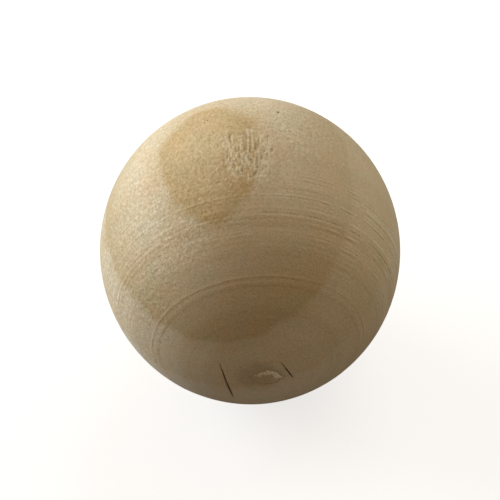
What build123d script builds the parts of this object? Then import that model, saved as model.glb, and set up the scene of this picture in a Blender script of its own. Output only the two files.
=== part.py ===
from build123d import *
from math import asin, ceil, cos, degrees, radians, sin, sqrt
import os

# A wooden ball, turned on a lathe from one piece of wood and parted off. All sizes are millimetres.
#
# Frame: the origin is the ball's centre. Y is the lathe's axis and the direction of the grain, and
# the parted-off end is at -Y. +Z is up as the ball lies, which is the side nearest the tree's pith.

# ---- Driving dimensions ----

# The ball was turned round, and then dried: wood shrinks across its grain and hardly at all along it
ACROSS_GRAIN = 50.0
ALONG_GRAIN = 52.0

# The stub that tore when the ball was parted off, in the middle of a shallow groove
STUB_WIDTH = 3.8
STUB_EDGE = 0.3
STUB_CROWN = 0.07
PARTING_GROOVE_WIDTH = 6.6
PARTING_GROOVE_DEPTH = 0.25

# Rings that the tool scored round the parted-off half, by their angle from that end in degrees
TOOL_LINE_ANGLES = (26.75, 34.5, 39.0, 41.75, 53.75, 61.75)
TOOL_LINE_WIDTH = 0.3
TOOL_LINE_DEPTH = 0.05

# The pith, the centre of the growth rings, which lies outside the ball. Drying checks point at it
PITH_X = -15.5
PITH_Z = 47.0

# Drying checks in the parted-off end: the middle of the mouth, the mouth's size, and how deep it goes
LONG_CHECK_X = -5.4
LONG_CHECK_Z = -2.0
LONG_CHECK_LENGTH = 11.7
LONG_CHECK_WIDTH = 0.3
LONG_CHECK_DEPTH = 2.0
SHORT_CHECK_X = 4.0
SHORT_CHECK_Z = 1.05
SHORT_CHECK_LENGTH = 5.8
SHORT_CHECK_WIDTH = 0.22
SHORT_CHECK_DEPTH = 1.2

# A check tapers to its floor, which is this share of its mouth's length, and this wide
CHECK_FLOOR_SHARE = 0.5
CHECK_FLOOR_WIDTH = 0.05

# The outline's curve passes through a point every so many degrees, or fewer
OUTLINE_STEP = 3.0

# How far a check's cutter stands out of the ball
CLEAR = 0.3

# ---- Worked out from them ----

across_radius = ACROSS_GRAIN / 2
along_radius = ALONG_GRAIN / 2
stub_radius = STUB_WIDTH / 2
groove_radius = PARTING_GROOVE_WIDTH / 2


def end_depth(distance):
    """Y of the parted-off end's surface, at a distance from the lathe's axis."""
    return -along_radius * sqrt(1 - (distance / across_radius) ** 2)


def outline_point(angle):
    """The point of the ball's ellipse at an angle from the parted-off end."""
    return Vector(across_radius * sin(radians(angle)), -along_radius * cos(radians(angle)))


def outline_direction(angle):
    """The way the ellipse runs at that point, from the parted-off end to the far end."""
    return Vector(across_radius * cos(radians(angle)), along_radius * sin(radians(angle))).normalized()


def outward_at(point):
    """The unit vector that points straight out of the ball at a point of its surface."""
    slope = Vector(point.X / across_radius**2, point.Y / along_radius**2, point.Z / across_radius**2)
    return slope.normalized()


def tool_line_bottom(angle):
    """The lowest point of a scored ring's V, in the outline."""
    return outline_point(angle) - outward_at(outline_point(angle)) * TOOL_LINE_DEPTH


def check_plane(x, z):
    """A plane that touches the end's surface at (x, z), with its own X pointing at the pith."""
    point = Vector(x, end_depth(sqrt(x * x + z * z)), z)
    outward = outward_at(point)
    to_pith = Vector(PITH_X - x, 0, PITH_Z - z)
    return Plane(origin=point, x_dir=to_pith - outward * to_pith.dot(outward), z_dir=outward)


checks = (
    (LONG_CHECK_X, LONG_CHECK_Z, LONG_CHECK_LENGTH, LONG_CHECK_WIDTH, LONG_CHECK_DEPTH),
    (SHORT_CHECK_X, SHORT_CHECK_Z, SHORT_CHECK_LENGTH, SHORT_CHECK_WIDTH, SHORT_CHECK_DEPTH),
)

# The outline is stretches of the ball's ellipse, one from each scored ring to the next
rim_angle = degrees(asin(groove_radius / across_radius))
half_line = degrees(TOOL_LINE_WIDTH / 2 / along_radius)
stretch_starts = [rim_angle] + [angle + half_line for angle in TOOL_LINE_ANGLES]
stretch_ends = [angle - half_line for angle in TOOL_LINE_ANGLES] + [180]

# The stub stands in the groove that the parting tool cut round it
stub_crown = (0, -along_radius)
stub_shoulder = (stub_radius - STUB_EDGE, STUB_CROWN - along_radius)
stub_foot = (stub_radius, end_depth(stub_radius) + PARTING_GROOVE_DEPTH)

with BuildPart() as ball:
    # The turned body: half of its outline, spun about the lathe's axis
    with BuildSketch(Plane.XY):
        with BuildLine():
            stretches = []
            for start, end in zip(stretch_starts, stretch_ends):
                steps = ceil((end - start) / OUTLINE_STEP)
                angles = [start + (end - start) * step / steps for step in range(steps + 1)]
                ends = (outline_direction(start), outline_direction(end))
                stretches.append(Spline(*[outline_point(angle) for angle in angles], tangents=ends))
            for angle, before, after in zip(TOOL_LINE_ANGLES, stretches, stretches[1:]):
                Polyline(before @ 1, tool_line_bottom(angle), after @ 0)
            Polyline(stub_crown, stub_shoulder, stub_foot, stretches[0] @ 0)
            Line(stretches[-1] @ 1, stub_crown)
        make_face()
    revolve(axis=Axis.Y)

    # The drying checks: long lens-shaped mouths that taper to a narrow floor
    for x, z, length, width, depth in checks:
        mouth_plane = check_plane(x, z)
        floor_length = length * CHECK_FLOOR_SHARE
        # the surface falls away from the mouth's plane by this much at the check's tips
        fall = (length / 2) ** 2 / ACROSS_GRAIN
        mouth_length = floor_length + (length - floor_length) * (depth + CLEAR) / (depth - fall)
        mouth_width = CHECK_FLOOR_WIDTH + (width - CHECK_FLOOR_WIDTH) * (depth + CLEAR) / depth
        for offset, lens_length, lens_width in (
            (CLEAR, mouth_length, mouth_width),
            (-depth, floor_length, CHECK_FLOOR_WIDTH),
        ):
            tip = (lens_length / 2, 0)
            far_tip = (-lens_length / 2, 0)
            with BuildSketch(mouth_plane.offset(offset)):
                with BuildLine():
                    ThreePointArc(tip, (0, lens_width / 2), far_tip)
                    ThreePointArc(far_tip, (0, -lens_width / 2), tip)
                make_face()
        loft(mode=Mode.SUBTRACT)

ball.part.label = "ball"

os.makedirs("parts", exist_ok=True)
export_step(ball.part, "parts/ball.step")

box = ball.part.bounding_box()
print(f"ball: {len(ball.part.solids())} solid, {ball.part.volume:.1f} mm3")
print(f"box: {box.size.X:.3f} x {box.size.Y:.3f} x {box.size.Z:.3f} mm")
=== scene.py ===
# %% [markdown]
# # A turned wooden ball
# The real object is one piece of pale wood. It was spun on a lathe, cut round with a gouge and parted
# off, so everything you see on it is a trace of that: rings left by the tool, a torn stub where it was
# parted off, and the wood's own growth rings and fibres. This lesson builds it the same way round:
# an outline, spun into a body, then marked, and last the wood itself as a pattern that fills space.

# %% Load the frame
from math import cos, hypot, pi, radians, sin

import bmesh
import bpy
import numpy as np
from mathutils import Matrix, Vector, noise


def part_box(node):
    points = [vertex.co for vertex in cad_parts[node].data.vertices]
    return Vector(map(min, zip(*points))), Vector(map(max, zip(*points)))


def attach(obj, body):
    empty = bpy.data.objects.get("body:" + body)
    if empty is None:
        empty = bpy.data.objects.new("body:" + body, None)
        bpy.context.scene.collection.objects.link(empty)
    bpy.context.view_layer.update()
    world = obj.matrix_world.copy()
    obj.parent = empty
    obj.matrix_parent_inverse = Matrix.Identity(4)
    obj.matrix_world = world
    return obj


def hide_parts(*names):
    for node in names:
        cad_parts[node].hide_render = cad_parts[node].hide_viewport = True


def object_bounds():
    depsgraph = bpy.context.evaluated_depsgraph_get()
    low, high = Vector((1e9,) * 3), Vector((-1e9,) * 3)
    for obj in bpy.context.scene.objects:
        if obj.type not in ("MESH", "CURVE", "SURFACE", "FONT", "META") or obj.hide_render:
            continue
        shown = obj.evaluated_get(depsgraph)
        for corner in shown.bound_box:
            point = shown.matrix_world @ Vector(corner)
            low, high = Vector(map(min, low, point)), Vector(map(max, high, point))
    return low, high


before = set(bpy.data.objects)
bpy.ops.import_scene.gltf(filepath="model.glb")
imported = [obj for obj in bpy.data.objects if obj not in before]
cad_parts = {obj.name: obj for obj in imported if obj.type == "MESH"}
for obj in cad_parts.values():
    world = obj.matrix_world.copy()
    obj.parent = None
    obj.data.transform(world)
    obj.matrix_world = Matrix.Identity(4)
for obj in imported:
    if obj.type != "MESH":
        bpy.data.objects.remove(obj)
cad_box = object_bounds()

print("CAD nodes:", sorted(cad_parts))

# %% [markdown]
# ## The ball's own measures
# Y is the lathe's axis and the grain's direction, with the parted-off end at -Y, and +Z is up. The
# ball was turned round and then dried, and wood shrinks across its grain and hardly along it, so it
# is a little longer along Y. Both half sizes come from the CAD node. Small features are easiest to
# think about in millimetres, so the shape is worked out in those and scaled once at the end.

# %% Sizes in millimetres
MM = 0.001
low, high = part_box("ball")
ACROSS = round((high.x - low.x) / 2 / MM, 1)
ALONG = round((high.y - low.y) / 2 / MM, 1)
PITH = (-15.5, 47.0)  # x and z of the middle of the log, which lies outside the ball
print(f"half sizes: {ACROSS} mm across the grain, {ALONG} mm along it")

# %% [markdown]
# ## The outline
# A lathe makes a surface of revolution, so the mesh is one too: circles round Y, each at an angle
# from the parted-off end. A plain UV sphere would spend its circles evenly. Here they lie where the
# real surface needs them: close together over the torn stub, and three to each ring the tool scored,
# so that a ring is a true crease and not a blur.

# %% Where the circles go
# angle from the parted-off end in degrees, and height in mm: a ridge is above 0 and a score below
TOOL_RINGS = (
    (26.75, -0.007), (34.5, -0.007), (39.0, -0.010), (40.5, 0.007), (41.75, -0.011), (42.6, 0.016),
    (53.75, -0.008), (58.0, 0.006), (59.0, -0.010), (61.75, -0.008), (63.0, 0.016), (65.5, 0.009),
    (69.0, 0.008), (70.2, 0.010), (77.0, 0.005),
)
RING_HALF_WIDTH = 0.19  # mm
ring_half_angle = np.degrees(RING_HALF_WIDTH / ACROSS)
STUB_ZONE = 8.0  # degrees, which holds the stub and the groove round it
FINE_STEP = 0.3
PLAIN_STEP = 0.95

creases = sorted(angle + side * ring_half_angle for angle, _ in TOOL_RINGS for side in (-1, 0, 1))
stops = [FINE_STEP, STUB_ZONE, *creases, 180 - PLAIN_STEP]
circle_angles = [stops[0]]
for start, end in zip(stops, stops[1:]):
    step = FINE_STEP if end <= STUB_ZONE else PLAIN_STEP
    count = max(1, round((end - start) / step))
    circle_angles += [start + (end - start) * i / count for i in range(1, count + 1)]
print(len(circle_angles), "circles")

# %% [markdown]
# ## Spinning it
# Each circle becomes a row of vertices on a ball of radius 1, and neighbouring rows are joined by
# quads. The two ends close with a fan of triangles round one vertex.

# %% Spin the outline into a mesh
SEGMENTS = 336
turns = np.arange(SEGMENTS) * 2 * pi / SEGMENTS
tilt = np.radians(circle_angles)[:, None]
circles = np.stack(
    [np.sin(tilt) * np.cos(turns), -np.cos(tilt) + 0 * turns, np.sin(tilt) * np.sin(turns)], axis=-1
)
vertices = [(0, -1, 0), *map(tuple, circles.reshape(-1, 3)), (0, 1, 0)]
last_row = 1 + (len(circle_angles) - 1) * SEGMENTS
far_pole = len(vertices) - 1
faces = []
for i in range(SEGMENTS):
    j = (i + 1) % SEGMENTS
    faces.append((0, 1 + i, 1 + j))
    faces.append((far_pole, last_row + j, last_row + i))
    for row in range(1, last_row, SEGMENTS):
        faces.append((row + i, row + SEGMENTS + i, row + SEGMENTS + j, row + j))

ball_mesh = bpy.data.meshes.new("turned_ball")
ball_mesh.from_pydata(vertices, [], faces)
print(len(ball_mesh.vertices), "vertices as spun")

# %% [markdown]
# ## More vertices where the marks are
# The drying checks are about a third of a millimetre wide and the crushed patch is full of small
# pits, so the even spin is too coarse there. Cutting up only the edges near a mark, until they are
# short enough, costs far less than a finer ball. Each new vertex is put back on the ball's surface.

# %% Measures of the marks, and which points lie near them
# a check: x and z of its middle, length, mouth width and depth in mm. They point at the pith
CHECKS = ((-5.4, -2.0, 11.7, 0.42, 2.0), (4.0, 1.05, 5.8, 0.26, 1.2))
PATCH_MIDDLE = (-0.6, -1.5)  # x and y, on top of the ball
PATCH_HALF = (4.2, 5.4)  # half sizes in x and y
# a pinhole: its direction from the ball's centre, and its radius in mm
PINHOLES = (((0.205, 0.350, 0.914), 0.26), ((-0.247, 0.302, 0.921), 0.13))
# how far past a mark the short edges go, in mm, and for the patch as a share of its half sizes
CHECK_END_MARGIN = 0.3
CHECK_SIDE_MARGIN = 0.38
PATCH_MARGIN = 1.25
PINHOLE_MARGIN = 0.5


def along_check(check, x, z):
    """How far points are from a check's middle, along it towards the pith and across it."""
    to_pith = Vector((PITH[0] - check[0], PITH[1] - check[1])).normalized()
    off_x, off_z = x - check[0], z - check[1]
    return off_x * to_pith.x + off_z * to_pith.y, off_z * to_pith.x - off_x * to_pith.y


def by_check(x, y, z):
    """True at a point close enough to a check to need short edges."""
    spans = [(check[2] / 2, along_check(check, x, z)) for check in CHECKS]
    return y < 0 and any(
        abs(along) < half + CHECK_END_MARGIN and abs(across) < CHECK_SIDE_MARGIN
        for half, (along, across) in spans
    )


def by_patch(x, y, z):
    """True at a point on or near the crushed patch."""
    off_x, off_y = (x - PATCH_MIDDLE[0]) / PATCH_HALF[0], (y - PATCH_MIDDLE[1]) / PATCH_HALF[1]
    return z > 0 and hypot(off_x, off_y) < PATCH_MARGIN


def by_pinhole(x, y, z):
    """True at a point close to a pinhole."""
    half_sizes = Vector((ACROSS, ALONG, ACROSS))
    spots = [Vector(direction).normalized() * half_sizes for direction, _ in PINHOLES]
    return any((Vector((x, y, z)) - spot).length < PINHOLE_MARGIN for spot in spots)


# %% Cut up the edges there
MOST_HALVINGS = 4


def refine(mesh, near, longest):
    """Halves the edges near a mark until none is longer than so many millimetres."""
    work = bmesh.new()
    work.from_mesh(mesh)
    scale = Vector((ACROSS, ALONG, ACROSS))
    for _ in range(MOST_HALVINGS):
        long_edges = []
        for edge in work.edges:
            start, end = (v.co * scale for v in edge.verts)
            if near(*((start + end) / 2)) and (start - end).length > longest:
                long_edges.append(edge)
        if not long_edges:
            break
        bmesh.ops.subdivide_edges(work, edges=long_edges, cuts=1, use_grid_fill=True)
        for vertex in work.verts:
            vertex.co.normalize()
    crowded = [face for face in work.faces if len(face.verts) > 4]
    bmesh.ops.triangulate(work, faces=crowded)
    work.to_mesh(mesh)
    work.free()
    print(near.__name__, "->", len(mesh.vertices), "vertices")


# the longest edge in mm, which is less than half as wide as the mark's finest feature
for near, longest in ((by_check, 0.07), (by_patch, 0.14), (by_pinhole, 0.08)):
    refine(ball_mesh, near, longest)

# %% [markdown]
# ## Where each vertex is
# The marks are worked out for all the vertices at once with numpy. A vertex's place on the unit ball
# is also the way that it moves, near enough, when a mark presses it in or lifts it.

# %% Every vertex's place, in millimetres
unit = np.empty(len(ball_mesh.vertices) * 3)
ball_mesh.vertices.foreach_get("co", unit)
unit = unit.reshape(-1, 3)
place = unit * (ACROSS, ALONG, ACROSS)
x, y, z = place.T
from_axis = np.hypot(x, z)
end_angle = np.degrees(np.arctan2(np.hypot(unit[:, 0], unit[:, 2]), -unit[:, 1]))
height = np.zeros(len(place))  # how far each vertex moves outwards, in mm


def noise_at(points, size, seed=0.0):
    """Smooth noise from -1 to 1 at each point, with lumps of a size in x, y and z, in mm."""
    scaled = points / np.array(size) + seed
    return np.array([noise.noise(Vector(point)) for point in scaled])


def ease(value, start, end):
    """0 where value is before start, 1 past end, and a smooth rise between."""
    t = np.clip((value - start) / (end - start), 0, 1)
    return t * t * (3 - 2 * t)


# %% [markdown]
# ## The tool's rings
# A gouge leaves a very slight spiral of ridges and scores. Each is only about a hundredth of a
# millimetre high, yet low light picks them out. Their colour is paler on a ridge and darker in a
# score: partly dust and polish, and partly a painted highlight and a painted shade.

# %% Score the rings
# this paints each ridge paler and each score darker, as painted highlight and shade along with dust
# and polish
ring_light_and_dust = np.zeros(len(place))  # above 0 on a ridge and below it in a score
ring_top = max(abs(ring_height) for _, ring_height in TOOL_RINGS)
for angle, ring_height in TOOL_RINGS:
    shape = np.clip(1 - np.abs(end_angle - angle) / ring_half_angle, 0, 1)
    height += ring_height * shape
    ring_light_and_dust += ring_height / ring_top * shape
# they are fresh on the left, and rubbed away in places on the right
ring_light_and_dust *= np.clip(0.75 - 0.025 * x + 1.1 * noise_at(place, (7, 7, 7), 30.0), 0.15, 1.3)
UNEVENNESS = 0.02  # mm: dried wood is never quite true. It only ever goes inwards from the turned size
height -= UNEVENNESS * (1 + noise_at(place, (9, 9, 9)))
print("rings:", len(TOOL_RINGS))

# %% [markdown]
# Between the rings lie broad bands. Where the tool rubbed, the wood is burnished and a little paler,
# and where it took a coarser cut the wood is darker.

# %% Lay the bands
# angle of a band's middle and half its width in degrees, and how much paler it is in hundredths
BANDS = (
    (23, 1.5, 4), (30, 1.5, -4), (34, 2.5, 3), (39, 1.5, -5), (50, 2.5, -6),
    (57, 2.5, 5), (61, 2.0, -4), (67, 4.0, 3), (75, 3.0, 4), (85, 3.5, -4),
)
band = np.zeros(len(place))
for middle, half, paler in BANDS:
    band += paler / 100 * np.clip(1 - ((end_angle - middle) / half) ** 2, 0, 1)
print("bands:", len(BANDS))

# %% [markdown]
# ## The stub
# Parting off cuts a narrow groove towards the lathe's axis until the last few fibres snap. They leave
# a low torn disc in a shallow dish. Its upper lip is pulled up and shows pale fresh wood, painted
# paler still as a highlight where the light catches it.

# %% Cut the groove and tear the stub
STUB_MIDDLE = (0.8, -0.3)  # x and z in mm: the fibres snapped a little off the axis
STUB_RADIUS = 1.9
END_RADIUS = 6.0  # the stub and its groove lie well within this
GROOVE_RADIUS = 3.3
GROOVE_DEPTH = 0.25
TORN_DEPTH = 0.17  # how far the torn face lies below the ball's end
LIP_RISE = 0.15
GRIT_HEIGHT = 0.05
off_x, off_z = x - STUB_MIDDLE[0], z - STUB_MIDDLE[1]
from_stub = np.hypot(0.88 * off_x, 1.10 * off_z)  # a little oval
ragged = 0.20 * noise_at(place, (0.8, 0.8, 0.8), 7.0) + 0.10 * noise_at(place, (0.25, 0.25, 0.25), 3.0)
edge_here = STUB_RADIUS * (1 + ragged)
at_end = (y < 0) & (from_axis < END_RADIUS)
groove = ease(GROOVE_RADIUS - from_axis, 0, GROOVE_RADIUS - STUB_RADIUS) * GROOVE_DEPTH
torn = np.where(at_end, ease(edge_here - from_stub, -0.10, 0.10), 0)
grit = noise_at(place, (0.30, 0.30, 0.30), 1.0)
# the lip runs along the upper edge from the left and is longest at the right
lip_side = ease(off_z + 0.25 * off_x, -0.10, 0.50)
lip = torn * lip_side * ease(from_stub / edge_here + 0.25 * grit, 0.50, 0.75)
top_below_end = TORN_DEPTH - LIP_RISE * lip + GRIT_HEIGHT * np.clip(grit, -1, 1)
height += np.where(at_end, np.where(torn > 0, -groove + torn * (groove - top_below_end), -groove), 0)
# pale fresh wood on the lip, and a painted highlight on it that grows towards the right
fresh_wood_and_highlight = lip * np.clip(0.80 + 0.6 * grit + 0.25 * off_x, 0, 1.2)
print("stub vertices:", int((torn > 0.5).sum()))

# %% Dirt round it, and painted shade in its groove
# end grain drinks up dirt, smudged further out on the left; darkest is a thin ring of
# painted shade in the groove just round the torn stub
dirt_and_groove_shade = 1 - ease(np.hypot(x + 0.5, z - 0.1) + 0.9 * noise_at(place, (1.6, 1.6, 1.6), 6.0), 2.0, 4.6)
# a thin ring of painted shade just outside the torn edge, where the groove's wall is in shade
groove_shade = np.clip(1 - np.abs(from_stub - edge_here - 0.16) / 0.18, 0, 1)
dirt_and_groove_shade = np.where(at_end, np.maximum(0.5 * dirt_and_groove_shade, 1.2 * groove_shade), 0) * (1 - fresh_wood_and_highlight)
print("smudged vertices:", int((dirt_and_groove_shade > 0.1).sum()))

# %% [markdown]
# ## The drying checks
# As a log's end dries, it shrinks more round its rings than towards its pith, and splits along a line
# that points at the pith. A check is widest in its middle, thin as a hair at its tips, and its walls
# are close to upright.

# %% Open the checks
WAVINESS = 0.05  # mm: a check follows the fibres from side to side
# how deep into a check each point lies, which the material uses for the painted shade on the check's
# walls
check_shade = np.zeros(len(place))  # 0 at a check's lip and 1 at its floor
for check in CHECKS:
    length, width, depth = check[2:]
    along, across = along_check(check, x, z)
    across = across + WAVINESS * noise_at(place, (1.8, 1.8, 1.8), 5.0)
    taper = np.clip(1 - (2 * along / length) ** 2, 0, 1)
    lean = np.clip(0.80 - 0.55 * along / length, 0.3, 1.1)  # wider at the end away from the pith
    half_width = np.maximum(width / 2 * taper * lean, 1e-6)
    opening = np.where((y < 0) & (taper > 0), np.clip(1 - np.abs(across) / half_width, 0, 1), 0)
    height -= depth * taper * opening
    check_shade = np.maximum(check_shade, opening * ease(taper, 0.0, 0.5))
print("check vertices:", int((check_shade > 0).sum()))

# %% [markdown]
# ## The crushed patch
# On top, a patch of the surface has been pressed and scuffed. Its fibres are broken into short pale
# bundles along the grain, with gaps between them and short breaks across, which hold a painted
# shade. Each is a noise that is stretched one way, and the patch's edge is ragged in the same way.

# %% Crush the patch
FIBRE_LENGTH = 1.5  # mm, and they run along Y
GAP_WIDTH = 0.34
BUNDLE_WIDTH = 0.38
BREAK_SIZE = (0.55, 0.34, 0.55)
PRESSED_DEPTH = 0.05
BUNDLE_HEIGHT = 0.05
PIT_DEPTH = 0.06
off_x, off_y = (x - PATCH_MIDDLE[0]) / PATCH_HALF[0], (y - PATCH_MIDDLE[1]) / PATCH_HALF[1]
near_patch = (z > 0) & (np.hypot(off_x, off_y) < PATCH_MARGIN)
crushed = np.zeros(len(place))
pit_shade = np.zeros(len(place))
spot = place[near_patch]
reach = (np.abs(off_x[near_patch]) ** 3 + np.abs(off_y[near_patch]) ** 3) ** (1 / 3)
reach += 0.22 * noise_at(spot, (0.6, 1.3, 0.6), 2.0) + 0.12 * noise_at(spot, (2.5, 2.5, 2.5), 8.0)
inside = 1 - ease(reach, 0.80, 0.98)
fibre_gaps = ease(-noise_at(spot, (GAP_WIDTH, FIBRE_LENGTH, GAP_WIDTH), 4.0), 0.12, 0.36)
breaks = ease(-noise_at(spot, BREAK_SIZE, 9.0), 0.24, 0.46)
bundles = noise_at(spot, (BUNDLE_WIDTH, FIBRE_LENGTH, BUNDLE_WIDTH), 20.0)
bundles += 0.4 * noise_at(spot, (0.25, 0.4, 0.25), 25.0)
hollow = np.maximum(fibre_gaps, 0.9 * breaks) * inside
crushed[near_patch] = inside * np.clip(0.6 + 1.3 * bundles, 0, 1)
# the gaps and breaks are sunk, and also get a painted shade
pit_shade[near_patch] = hollow
pressed = inside * (BUNDLE_HEIGHT * np.clip(bundles, -1, 1) - PRESSED_DEPTH)
height[near_patch] += pressed - PIT_DEPTH * hollow
print("patch vertices:", int(near_patch.sum()))

# %% [markdown]
# ## Pinholes
# Two tiny holes, each as wide as a pencil dot, lie behind the patch where a vessel broke open.
# Their dark inside is a painted shade.

# %% Sink the pinholes
PINHOLE_DEPTH = 0.15  # mm
# each hole's mask sets both its depth and the painted shade inside it
pin = np.zeros(len(place))
for direction, radius in PINHOLES:
    toward = np.array(direction) / np.linalg.norm(direction)
    away = np.linalg.norm(place - toward * (ACROSS, ALONG, ACROSS), axis=1)
    pin = np.maximum(pin, 1 - ease(away, 0.4 * radius, 1.3 * radius))
height -= PINHOLE_DEPTH * pin
print("pinhole vertices:", int((pin > 0.1).sum()))

# %% [markdown]
# ## Putting the shape and its marks on the mesh
# The marks are kept on the mesh as attributes too, one number a vertex, so that the material can
# darken a check or pale a torn edge exactly where the shape has it.

# %% Move the vertices and store the marks
outward = unit / (ACROSS, ALONG, ACROSS)
outward /= np.linalg.norm(outward, axis=1)[:, None]
shaped = (place + outward * height[:, None]) * MM
ball_mesh.vertices.foreach_set("co", shaped.ravel())
marks = {
    "ring_light_and_dust": ring_light_and_dust, "band": band, "fresh_wood_and_highlight": fresh_wood_and_highlight, "dirt_and_groove_shade": dirt_and_groove_shade, "check_shade": check_shade,
    "crushed": crushed, "pit_shade": pit_shade, "pin": pin,
}
for name, values in marks.items():
    attribute = ball_mesh.attributes.new(name, "FLOAT", "POINT")
    attribute.data.foreach_set("value", values.astype(np.float32))
ball_mesh.polygons.foreach_set("use_smooth", np.ones(len(ball_mesh.polygons), bool))
ball_mesh.update()
ball = bpy.data.objects.new("wooden_ball", ball_mesh)
bpy.context.scene.collection.objects.link(ball)
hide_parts("ball")
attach(ball, "root")
ball_mesh.calc_loop_triangles()
print(len(ball_mesh.loop_triangles), "triangles")

# %% [markdown]
# ## Tools for materials
# Colours are written as sRGB hex, as a paint chart gives them, and turned to the linear values that
# the renderer works in. One function adds a node, sets its properties and fills its sockets, with a
# number, a colour or another node's output.


# %% Colour and node helpers
def colour(hex_value):
    """An sRGB hex colour such as "D9C7A5" as linear RGBA."""
    parts = [int(hex_value[i : i + 2], 16) / 255 for i in (0, 2, 4)]
    return (*[c / 12.92 if c <= 0.04045 else ((c + 0.055) / 1.055) ** 2.4 for c in parts], 1)


def add(tree, kind, settings=None, sockets=None):
    """Adds a node, sets its properties, and sets or links its sockets. Returns the node."""
    made = tree.nodes.new("ShaderNode" + kind)
    for name, value in (settings or {}).items():
        setattr(made, name, value)
    for name, value in (sockets or {}).items():
        if isinstance(value, bpy.types.NodeSocket):
            tree.links.new(value, made.inputs[name])
        else:
            made.inputs[name].default_value = value
    return made


# %% [markdown]
# ## The wood
# The ball is a pale, even, unfinished hardwood such as lime or birch, turned and left bare. Bare wood
# is matt: light goes a little way in and comes back the wood's colour, and it is a little smoother
# where the tool cut cleanly than where it lifted the fibres. Wood's pattern isn't painted on: it
# fills the block, and the surface cuts through it. So the material reads each point's place in the
# block, in millimetres, and needs no map. Growth rings are cylinders about the pith, and the fibres
# run along Y.

# %% Start the material
wood = bpy.data.materials.new("bare_turned_hardwood")
wood.use_nodes = True
tree = wood.node_tree
tree.nodes.clear()
object_place = add(tree, "TexCoord").outputs["Object"]
in_mm = add(tree, "VectorMath", {"operation": "SCALE"}, {0: object_place, "Scale": 1 / MM}).outputs[0]
block = add(tree, "SeparateXYZ", {}, {0: in_mm})
ball_mesh.materials.append(wood)
print("material:", wood.name)

# %% [markdown]
# ### Growth rings
# A growing season starts with pale wood and ends with a darker line, then the next starts at once,
# so a ring fades in slowly and ends sharply. This tree grew fast: most of its rings are over a
# centimetre wide here, and they wander a little as they go round.

# %% Rings about the pith
RING_CENTRE = (-12.0, 45.0)  # x and z in mm: rings are never quite round, so it isn't quite the pith
# mm from there to where a ring starts, and the colours of its early wood and of its late wood
GROWTH_RINGS = (
    (20.0, "CFB992", "C3A97B"),
    (24.0, "DAC9AC", "C6B28D"),
    (37.5, "D9CAB0", "D7C6A8"),
    (48.5, "E2D4BE", "D0BE9C"),
    (62.5, "DCCCB2", "CDBA96"),
)
LAST_RADIUS = 75.0
EDGE = 0.8  # mm, in which most of the change from one ring to the next happens
EDGE_SHARE = 0.7  # and this is how much of it
PALEST = 0.3  # how far through a ring its early wood is palest
ring_stops = []
for ring, (start, early, late) in enumerate(GROWTH_RINGS):
    end = GROWTH_RINGS[ring + 1][0] if ring + 1 < len(GROWTH_RINGS) else LAST_RADIUS
    before = colour(GROWTH_RINGS[ring - 1][2]) if ring else colour(early)
    edge_colour = [old + EDGE_SHARE * (new - old) for old, new in zip(before, colour(early))]
    palest_at = start + PALEST * (end - start)
    ring_stops += [(start + EDGE, edge_colour), (palest_at, colour(early)), (end, colour(late))]
print(len(ring_stops), "stops for", len(GROWTH_RINGS), "growth rings")

# %% Distance from the rings' centre, with a wander
WANDER_SIZE = 7.0  # mm
WANDER = 1.4  # mm, in or out at the most
wander = add(
    tree, "TexNoise", {}, {"Vector": in_mm, "Scale": 1 / WANDER_SIZE, "Detail": 3.0}
).outputs["Fac"]
wander_mm = add(
    tree, "MapRange", {}, {"Value": wander, "To Min": -WANDER, "To Max": WANDER}
).outputs["Result"]
from_centre = add(
    tree, "VectorMath", {"operation": "MULTIPLY_ADD"},
    {0: in_mm, 1: (1, 0, 1), 2: (-RING_CENTRE[0], 0, -RING_CENTRE[1])},
).outputs[0]
ring_radius = add(tree, "VectorMath", {"operation": "LENGTH"}, {0: from_centre}).outputs["Value"]
wandered = add(tree, "Math", {"operation": "ADD"}, {0: ring_radius, 1: wander_mm}).outputs[0]
first, last = ring_stops[0][0], ring_stops[-1][0]
season = add(
    tree, "MapRange", {}, {"Value": wandered, "From Min": first, "From Max": last}
).outputs["Result"]
print("growth rings from", first, "to", last, "mm")

# %% Colour by that distance, and fainter on the right, towards the sapwood
SAPWOOD_START = 3.0  # mm along X
SAPWOOD_END = 17.0
SAPWOOD_SHARE = 0.6
rings = add(tree, "ValToRGB", {}, {"Fac": season})
for radius, shade in ring_stops[1:-1]:
    rings.color_ramp.elements.new((radius - first) / (last - first)).color = shade
rings.color_ramp.elements[0].color = ring_stops[0][1]
rings.color_ramp.elements[-1].color = ring_stops[-1][1]
sapwood = add(
    tree, "MapRange", {"interpolation_type": "SMOOTHSTEP"},
    {"Value": block.outputs["X"], "From Min": SAPWOOD_START, "From Max": SAPWOOD_END,
     "To Min": 0.0, "To Max": SAPWOOD_SHARE},
).outputs["Result"]
wood_colour = add(
    tree, "Mix", {"data_type": "RGBA"},
    {"Factor": sapwood, "A": rings.outputs["Color"], "B": colour("D4C3A3")},
).outputs["Result"]
print("colour ramp with", len(rings.color_ramp.elements), "stops")

# %% [markdown]
# ### Fibres, flecks and the woolly part
# Where the tool cut cleanly the surface is smooth, and where it lifted the fibres the ball is woolly,
# with short flecks, mostly past the middle of the ball from the parted-off end. Fibres are longer
# than they are wide, so the flecks' noise is drawn out along Y. The real fibres are a few hundredths
# of a millimetre wide, too fine to show at this distance, so they are drawn more than ten times as
# coarse, as the small bundles in which they lift.

# %% Angle from the parted-off end, in degrees
across_only = add(tree, "VectorMath", {"operation": "MULTIPLY"}, {0: in_mm, 1: (1, 0, 1)}).outputs[0]
axis_distance = add(tree, "VectorMath", {"operation": "LENGTH"}, {0: across_only}).outputs["Value"]
end_side = add(
    tree, "Math", {"operation": "MULTIPLY"}, {0: block.outputs["Y"], 1: -ACROSS / ALONG}
).outputs[0]
angle = add(tree, "Math", {"operation": "ARCTAN2"}, {0: axis_distance, 1: end_side}).outputs[0]
angle = add(tree, "Math", {"operation": "DEGREES"}, {0: angle}).outputs[0]
print(len(tree.nodes), "nodes so far")

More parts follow.
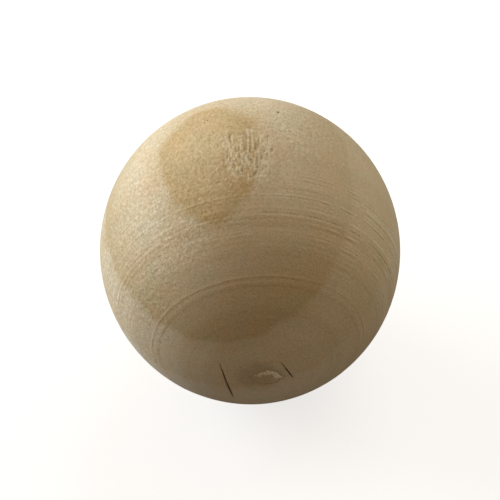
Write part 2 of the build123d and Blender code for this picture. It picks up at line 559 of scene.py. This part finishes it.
# %% Woolly zone: mostly past the middle, and nearer to the end on the left
BLOTCH_SIZE = 6.0  # mm
BLOTCH_SPREAD = 40.0  # degrees
LEFT_LEAN = -1.9  # degrees for each mm to the right
WOOL_START = 68.0  # degrees
WOOL_END = 106.0
blotch = add(
    tree, "TexNoise", {}, {"Vector": in_mm, "Scale": 1 / BLOTCH_SIZE, "Detail": 2.0}
).outputs["Fac"]
blotched = add(
    tree, "Math", {"operation": "MULTIPLY_ADD"}, {0: blotch, 1: BLOTCH_SPREAD, 2: angle}
).outputs[0]
blotched = add(
    tree, "Math", {"operation": "MULTIPLY_ADD"}, {0: block.outputs["X"], 1: LEFT_LEAN, 2: blotched}
).outputs[0]
woolly = add(
    tree, "MapRange", {"interpolation_type": "SMOOTHSTEP"},
    {"Value": blotched, "From Min": WOOL_START, "From Max": WOOL_END},
).outputs["Result"]
print("woolly from", WOOL_START, "to", WOOL_END, "degrees")

# %% Flecks: lifted fibres in the woolly zone, and a finer grain everywhere
FLECK_SIZE = 0.45  # mm
FLECK_STRETCH = 0.7  # Y is shortened by this before the noise is read, which draws the flecks out
GRAIN_SIZE = 0.30  # mm
drawn_out = add(
    tree, "VectorMath", {"operation": "MULTIPLY"}, {0: in_mm, 1: (1, FLECK_STRETCH, 1)}
).outputs[0]
lifted = add(
    tree, "TexNoise", {},
    {"Vector": drawn_out, "Scale": 1 / FLECK_SIZE, "Detail": 3.0, "Roughness": 0.65},
).outputs["Fac"]
lifted = add(
    tree, "MapRange", {"clamp": False}, {"Value": lifted, "To Min": -1.0, "To Max": 1.0}
).outputs["Result"]
lifted = add(tree, "Math", {"operation": "MULTIPLY"}, {0: lifted, 1: woolly}).outputs[0]
grain = add(
    tree, "TexNoise", {}, {"Vector": in_mm, "Scale": 1 / GRAIN_SIZE, "Detail": 2.0, "Roughness": 0.65}
).outputs["Fac"]
grain = add(
    tree, "MapRange", {"clamp": False}, {"Value": grain, "To Min": -1.0, "To Max": 1.0}
).outputs["Result"]
print("flecks", FLECK_SIZE, "mm, grain", GRAIN_SIZE, "mm")

# %% [markdown]
# ### Lines of the tool
# Between the strong rings lie many faint ones. A noise that changes only with the angle from the end
# gives circles of uneven strength. They show best on the right and in a belt short of the middle, and
# a slow noise fades them in and out on the way round.

# %% Faint lines
LINE_SPACING = 0.5  # mm, which is about as fine as shows: a tool's real feed is often finer
lines_a_degree = radians(ACROSS) / LINE_SPACING
line_count = add(tree, "Math", {"operation": "MULTIPLY"}, {0: angle, 1: lines_a_degree}).outputs[0]
line = add(
    tree, "TexNoise", {"noise_dimensions": "1D"}, {"W": line_count, "Scale": 1.0, "Detail": 1.0}
).outputs["Fac"]
line = add(
    tree, "MapRange", {"clamp": False}, {"Value": line, "To Min": -1.0, "To Max": 1.0}
).outputs["Result"]
print("a line every", LINE_SPACING, "mm")

# %% Where they show
FADE_SIZE = 3.0  # mm
come_and_go = add(
    tree, "TexNoise", {}, {"Vector": in_mm, "Scale": 1 / FADE_SIZE, "Detail": 3.0}
).outputs["Fac"]
come_and_go = add(
    tree, "MapRange", {}, {"Value": come_and_go, "From Min": 0.40, "From Max": 0.60}
).outputs["Result"]
# the belt swells from 40 to 64 degrees from the end, and is gone by 84
belt_start = add(
    tree, "MapRange", {"interpolation_type": "SMOOTHSTEP"},
    {"Value": angle, "From Min": 40.0, "From Max": 64.0},
).outputs["Result"]
belt_end = add(
    tree, "MapRange", {"interpolation_type": "SMOOTHSTEP"},
    {"Value": angle, "From Min": 72.0, "From Max": 84.0, "To Min": 1.0, "To Max": 0.0},
).outputs["Result"]
on_right = add(
    tree, "MapRange", {"interpolation_type": "SMOOTHSTEP"},
    {"Value": block.outputs["X"], "From Min": 4.0, "From Max": 17.0, "To Min": 0.7, "To Max": 1.6},
).outputs["Result"]
line_depth = belt_start
for share in (belt_end, on_right, come_and_go):
    line_depth = add(tree, "Math", {"operation": "MULTIPLY"}, {0: line_depth, 1: share}).outputs[0]
line = add(tree, "Math", {"operation": "MULTIPLY"}, {0: line, 1: line_depth}).outputs[0]
print(len(tree.nodes), "nodes so far")

# %% All tones together, as a change of the wood's colour
# the tool rings' paler ridges and darker scores: painted highlight and shade, with dust and polish
ring_light_and_dust_here = add(tree, "Attribute", {"attribute_name": "ring_light_and_dust"}).outputs["Fac"]
band_here = add(tree, "Attribute", {"attribute_name": "band"}).outputs["Fac"]
TONES = ((lifted, 0.58), (grain, 0.38), (line, 0.42), (ring_light_and_dust_here, 0.20))
# a darker fleck is a warmer one too, so blue changes the most
CHANNEL_SHARES = (0.80, 1.03, 1.40)
tone = band_here
for part, strength in TONES:
    tone = add(tree, "Math", {"operation": "MULTIPLY_ADD"}, {0: part, 1: strength, 2: tone}).outputs[0]
by_channel = add(
    tree, "VectorMath", {"operation": "MULTIPLY_ADD"}, {0: tone, 1: CHANNEL_SHARES, 2: (1, 1, 1)}
).outputs[0]
toned = add(tree, "VectorMath", {"operation": "MULTIPLY"}, {0: wood_colour, 1: by_channel}).outputs[0]
print("tones added:", len(TONES) + 1)

# %% [markdown]
# ### Stains
# Wood is never one hue. Patches a few millimetres wide lean a little to orange or to green-grey.

# %% Lean the hue
STAIN_SIZE = 3.5  # mm
ORANGE_LEAN = (1.02, 0.98, 0.93, 1)
GREEN_LEAN = (0.98, 1.01, 1.01, 1)
stain = add(
    tree, "TexNoise", {}, {"Vector": in_mm, "Scale": 1 / STAIN_SIZE, "Detail": 1.0}
).outputs["Fac"]
stain = add(tree, "MapRange", {}, {"Value": stain, "From Min": 0.3, "From Max": 0.7}).outputs["Result"]
lean = add(
    tree, "Mix", {"data_type": "RGBA"}, {"Factor": stain, "A": ORANGE_LEAN, "B": GREEN_LEAN}
).outputs["Result"]
hued = add(tree, "VectorMath", {"operation": "MULTIPLY"}, {0: toned, 1: lean}).outputs[0]
print("stains", STAIN_SIZE, "mm wide")

# %% [markdown]
# ### Marks
# The mesh carries the marks. Crushed fibres are paler, because fresh wood scatters more light, and
# the torn lip is pale fresh wood with a painted highlight. The end grain round the stub is darker with
# dirt, and the groove round the stub, the patch's pits, the pinholes and the checks hold painted
# shade.

# %% Paint the marks
# the mark's name, how much of its colour it takes on, and the colour
MARKS = (
    ("crushed", 0.58, "EDE1C2"),
    # dirt on the end grain, and the painted shade in the groove round the stub
    ("dirt_and_groove_shade", 0.60, "8A6B40"),
    # the painted shade in the patch's gaps and breaks
    ("pit_shade", 0.42, "8A6E44"),
    # the painted shade inside the pinholes
    ("pin", 0.85, "46341E"),
    # the torn lip: pale fresh wood and a painted highlight
    ("fresh_wood_and_highlight", 1.0, "FAF1DC"),
)
painted = hued
for mark, share, shade in MARKS:
    here = add(tree, "Attribute", {"attribute_name": mark}).outputs["Fac"]
    here = add(tree, "Math", {"operation": "MULTIPLY"}, {0: here, 1: share}).outputs[0]
    painted = add(
        tree, "Mix", {"data_type": "RGBA"}, {"Factor": here, "A": painted, "B": colour(shade)}
    ).outputs["Result"]
print("marks painted:", len(MARKS))

# %% Painted shade in the checks, deepening from lip to floor
FULL_WALL = 0.25  # of the depth, from which the wall's colour is all there is
check_shade_here = add(tree, "Attribute", {"attribute_name": "check_shade"}).outputs["Fac"]
# the walls' colour is a painted shade: brown near the lip and nearly black at the floor
check_shade_colour = add(
    tree, "Mix", {"data_type": "RGBA"},
    {"Factor": check_shade_here, "A": colour("7A4E24"), "B": colour("2A190C")},
).outputs["Result"]
check_shade_share = add(
    tree, "MapRange", {}, {"Value": check_shade_here, "From Max": FULL_WALL}
).outputs["Result"]
painted = add(
    tree, "Mix", {"data_type": "RGBA"}, {"Factor": check_shade_share, "A": painted, "B": check_shade_colour}
).outputs["Result"]
print("checks darkened")

# %% Shader, with roughness and bump from the same fibres
CLEAN_ROUGHNESS = 0.55
WOOLLY_ROUGHNESS = 0.72
LINE_RELIEF = 0.5  # beside the flecks' 1
GRAIN_RELIEF = 0.25
BUMP_HEIGHT = 0.06  # mm
roughness = add(
    tree, "MapRange", {}, {"Value": woolly, "To Min": CLEAN_ROUGHNESS, "To Max": WOOLLY_ROUGHNESS}
).outputs["Result"]
relief = lifted
for part, strength in ((line, LINE_RELIEF), (grain, GRAIN_RELIEF)):
    relief = add(
        tree, "Math", {"operation": "MULTIPLY_ADD"}, {0: part, 1: strength, 2: relief}
    ).outputs[0]
bump = add(tree, "Bump", {}, {"Height": relief, "Distance": BUMP_HEIGHT * MM}).outputs["Normal"]
shader = add(
    tree, "BsdfPrincipled", {},
    {"Base Color": painted, "Roughness": roughness, "Normal": bump, "IOR": 1.5,
     "Specular IOR Level": 0.35, "Sheen Weight": 0.2, "Sheen Roughness": 0.4},
)
add(tree, "OutputMaterial", {}, {"Surface": shader.outputs["BSDF"]})
print(len(tree.nodes), "nodes in the wood")

# %% [markdown]
# ## Floor
# The floor is plain and pale. To the camera it is white apart from the ball's soft shadow: a share
# of it glows at a fixed level and the rest is lit, and further out it only glows. To every other ray
# it is a mid grey, so that it doesn't light the ball's dark side more than a table would.

# %% Make the floor
FLOOR_HALF = 2.0  # m
SIGNS = ((-1, -1), (1, -1), (1, 1), (-1, 1))
floor_mesh = bpy.data.meshes.new("floor")
floor_z = cad_box[0].z
corners = [(side * FLOOR_HALF, end * FLOOR_HALF, floor_z) for side, end in SIGNS]
floor_mesh.from_pydata(corners, [], [(0, 1, 2, 3)])
floor = bpy.data.objects.new("floor", floor_mesh)
bpy.context.scene.collection.objects.link(floor)
print("floor at", round(floor_z / MM, 2), "mm")

# %% White paper
GLOW = 0.72  # with the lit share, this makes white
GLOW_ONLY_START = 0.10  # m from the ball's centre
GLOW_ONLY_END = 0.45
paper = bpy.data.materials.new("white_paper")
paper.use_nodes = True
sheet = paper.node_tree
sheet.nodes.clear()
seen = add(sheet, "LightPath").outputs["Is Camera Ray"]
lit = add(sheet, "BsdfDiffuse", {}, {"Color": colour("BCBCBC")}).outputs[0]
glow = add(sheet, "Emission", {}, {"Color": (1, 1, 1, 1), "Strength": GLOW}).outputs[0]
near_floor = add(sheet, "AddShader", {}, {0: lit, 1: glow}).outputs[0]
far_floor = add(sheet, "Emission", {}, {"Color": (1, 1, 1, 1), "Strength": 1.0}).outputs[0]
floor_place = add(sheet, "TexCoord").outputs["Object"]
from_ball = add(sheet, "VectorMath", {"operation": "LENGTH"}, {0: floor_place}).outputs["Value"]
far_share = add(
    sheet, "MapRange", {"interpolation_type": "SMOOTHSTEP"},
    {"Value": from_ball, "From Min": GLOW_ONLY_START, "From Max": GLOW_ONLY_END},
).outputs["Result"]
shown = add(sheet, "MixShader", {}, {"Fac": far_share, 1: near_floor, 2: far_floor}).outputs[0]
bounce = add(sheet, "BsdfDiffuse", {}, {"Color": colour("8C8A86")}).outputs[0]
mixed = add(sheet, "MixShader", {}, {"Fac": seen, 1: bounce, 2: shown}).outputs[0]
add(sheet, "OutputMaterial", {}, {"Surface": mixed})
floor_mesh.materials.append(paper)
print(len(sheet.nodes), "nodes in the paper")

# %% [markdown]
# ## Light
# One broad light comes from the left and a little behind, as from a window, with weak ones from the
# right and a warm room all round. Large lamps give the slow shading that a ball shows best. They are
# set so that a colour renders about as it is written on the lit side.


# %% Lamps
def area_lamp(name, azimuth, elevation, distance, size, watts, tint):
    """A square lamp that looks at the ball. Azimuth 0 is towards -Y and 90 towards +X, in degrees."""
    data = bpy.data.lights.new(name, "AREA")
    data.shape = "SQUARE"
    data.size = size
    data.energy = watts
    data.color = colour(tint)[:3]
    lamp = bpy.data.objects.new(name, data)
    turn, lift = radians(azimuth), radians(elevation)
    away = Vector((sin(turn) * cos(lift), -cos(turn) * cos(lift), sin(lift)))
    lamp.location = away * distance
    lamp.rotation_mode = "QUATERNION"
    lamp.rotation_quaternion = away.to_track_quat("Z", "Y")
    bpy.context.scene.collection.objects.link(lamp)


# name, azimuth, elevation, distance and size in metres, watts, tint
LAMPS = (
    ("window", -120, 8, 0.9, 0.7, 13.8, "FAFFFF"),
    ("far_lamp", 150, 40, 0.9, 0.7, 3.0, "FAFFFC"),
    ("side_lamp", 105, 20, 0.9, 0.7, 1.0, "FFF2CC"),
)
for lamp in LAMPS:
    area_lamp(*lamp)
print("lamps:", ", ".join(lamp[0] for lamp in LAMPS))

# %% World
world = bpy.data.worlds.new("room")
bpy.context.scene.world = world
world.use_nodes = True
sky = world.node_tree
sky.nodes.clear()
seen = add(sky, "LightPath").outputs["Is Camera Ray"]
room = add(sky, "Background", {}, {"Color": colour("FFE1BC"), "Strength": 0.25}).outputs[0]
white = add(sky, "Background", {}, {"Color": (1, 1, 1, 1), "Strength": 1.0}).outputs[0]
mixed = add(sky, "MixShader", {}, {"Fac": seen, 1: room, 2: white}).outputs[0]
add(sky, "OutputWorld", {}, {"Surface": mixed})
print(len(sky.nodes), "nodes in the world")

# %% [markdown]
# ## Camera
# A long lens from above the parted-off end, close enough for the ball to fill six tenths of the
# picture, with the lens worked out from the ball's own size.

# %% Camera
CAMERA_AZIMUTH = -4  # degrees
CAMERA_ELEVATION = 50
CAMERA_DISTANCE = 0.225  # m
BALL_SHARE = 0.601  # of the picture's width
camera_data = bpy.data.cameras.new("camera")
camera = bpy.data.objects.new("camera", camera_data)
turn, lift = radians(CAMERA_AZIMUTH), radians(CAMERA_ELEVATION)
back = Vector((sin(turn) * cos(lift), -cos(turn) * cos(lift), sin(lift)))
camera.location = back * CAMERA_DISTANCE
camera.rotation_mode = "QUATERNION"
camera.rotation_quaternion = (-back).to_track_quat("-Z", "Y")
half_sine = ACROSS * MM / CAMERA_DISTANCE
camera_data.lens = BALL_SHARE * camera_data.sensor_width / 2 * (1 - half_sine**2) ** 0.5 / half_sine
camera_data.clip_start = 0.01
bpy.context.scene.collection.objects.link(camera)
bpy.context.scene.camera = camera
bpy.context.scene.view_settings.view_transform = "Standard"
print("lens:", round(camera_data.lens, 1), "mm")
